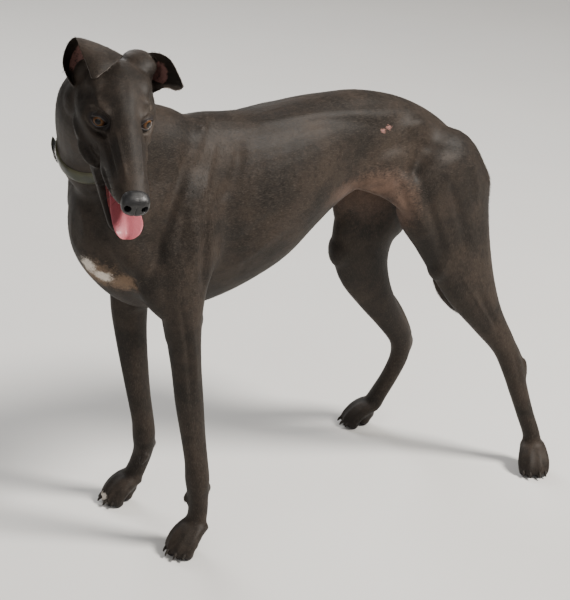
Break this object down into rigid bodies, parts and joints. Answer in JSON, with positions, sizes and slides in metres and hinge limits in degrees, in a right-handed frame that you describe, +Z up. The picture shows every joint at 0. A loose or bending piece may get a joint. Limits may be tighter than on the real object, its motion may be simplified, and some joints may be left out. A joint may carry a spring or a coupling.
{
  "type": "greyhound",
  "caption": "Life-size standing greyhound with a short dark coat, head turned to its left, mouth open with the tongue showing, wearing a plain collar.",
  "frame": {"origin": "centre of the object's footprint box, on the floor the paws stand on", "axes": "the dog faces -X, its left side is -Y, +Z is up"},
  "size_m": [1.0036, 0.516, 0.9002],
  "materials": {
    "coat": "short smooth fur, dark grey brown",
    "eye": "wet, amber brown",
    "nose_skin": "moist pebbled skin",
    "tongue_flesh": "moist flesh",
    "collar_web": "dark, slightly worn",
    "collar_metal": "polished"
  },
  "bodies": {
    "root": {"torso": "coat", "neck": "coat", "tail": "coat", "head": "coat", "jaw": "coat", "leg_front_left": "coat", "leg_front_right": "coat", "leg_hind_left": "coat", "leg_hind_right": "coat", "ear_left": "coat", "ear_right": "coat", "eye_left": "eye", "eye_right": "eye", "nose": "nose_skin", "tongue": "tongue_flesh", "collar_strap": "collar_web", "collar_buckle": "collar_metal", "collar_ring": "collar_metal"}
  },
  "joints": []
}
